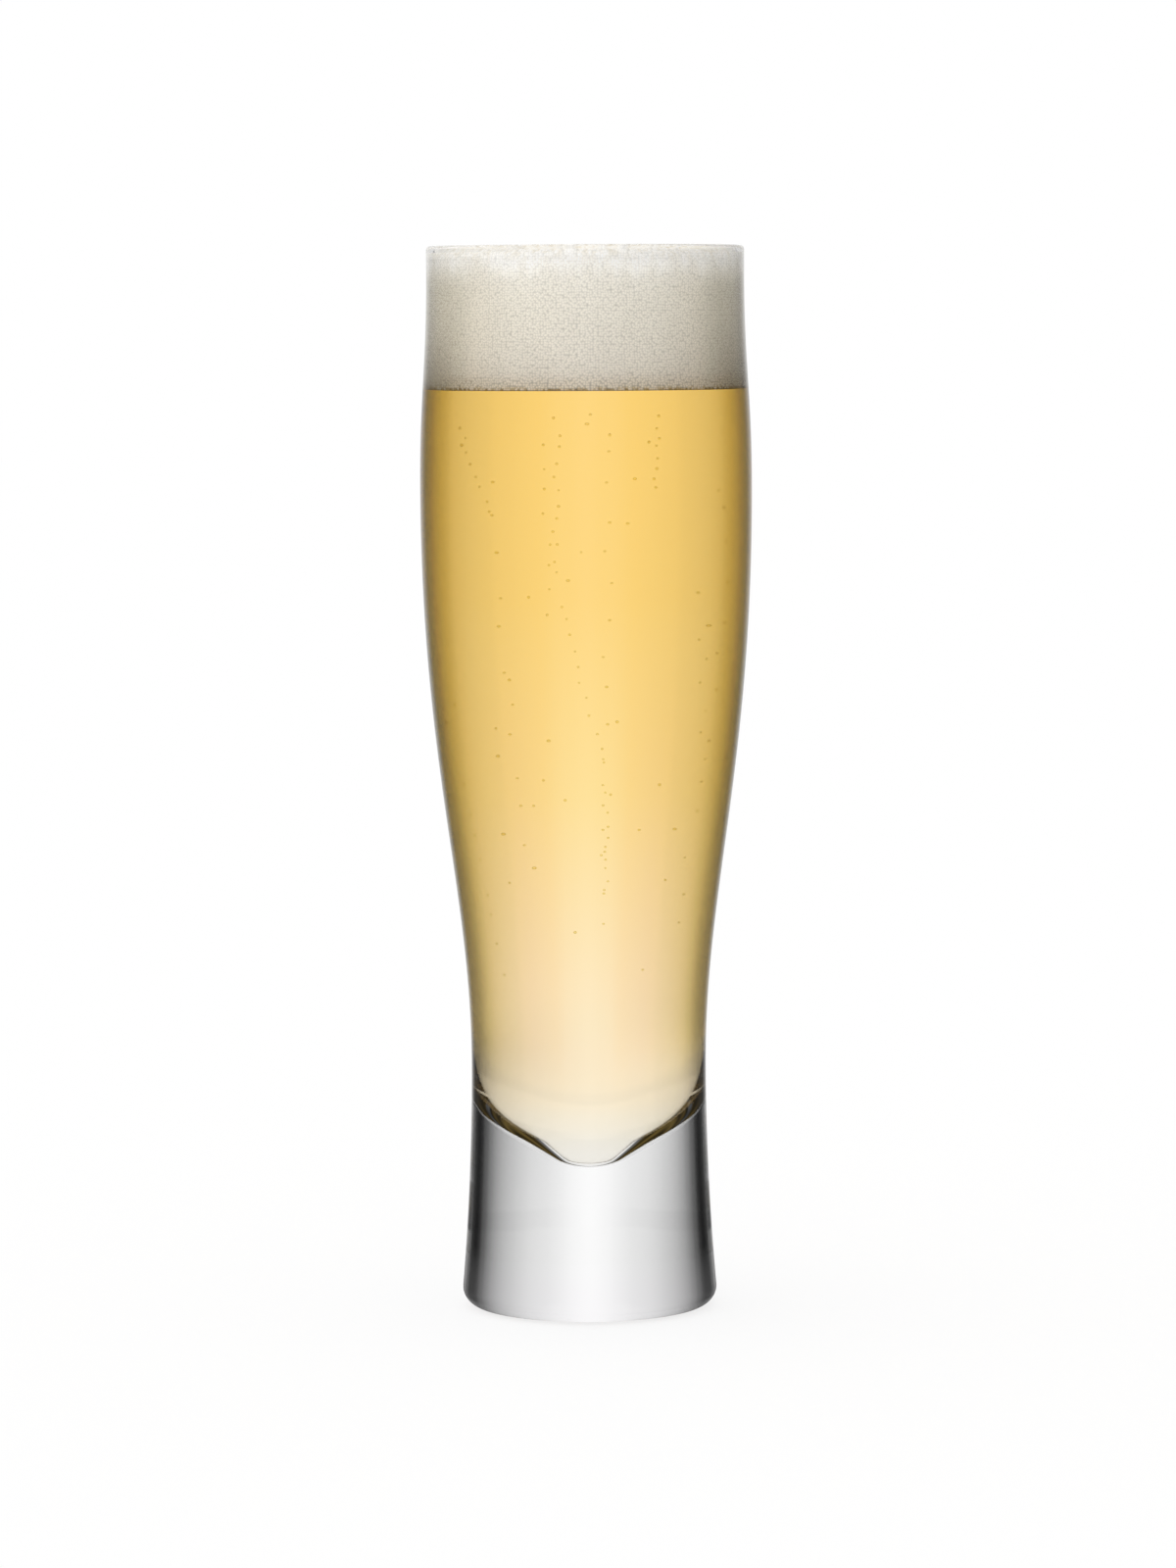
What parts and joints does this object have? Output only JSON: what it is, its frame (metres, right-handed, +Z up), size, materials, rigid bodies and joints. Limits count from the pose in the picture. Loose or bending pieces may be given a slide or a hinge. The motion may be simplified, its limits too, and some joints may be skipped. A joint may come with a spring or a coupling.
{
  "type": "weizen glass",
  "caption": "Tall weizen glass with a full belly, slim waist and heavy solid foot, filled with pale golden beer under a thick head of foam.",
  "frame": {"origin": "on the table plane, under the middle of the foot", "axes": "+Z up along the axis of the glass, +X and +Y across it; the glass is round, so their bearing is free"},
  "size_m": [0.0764, 0.0764, 0.245],
  "materials": {
    "clear_glass": "polished, fire-rounded at the rim",
    "pale_beer": "clear golden liquid",
    "beer_foam": "fine-bubbled foam",
    "gas_bubbles": "small gas bubbles in liquid"
  },
  "bodies": {
    "root": {"glass": "clear_glass", "beer": "pale_beer", "foam_head": "beer_foam", "rising_bubbles": "gas_bubbles"}
  },
  "joints": []
}
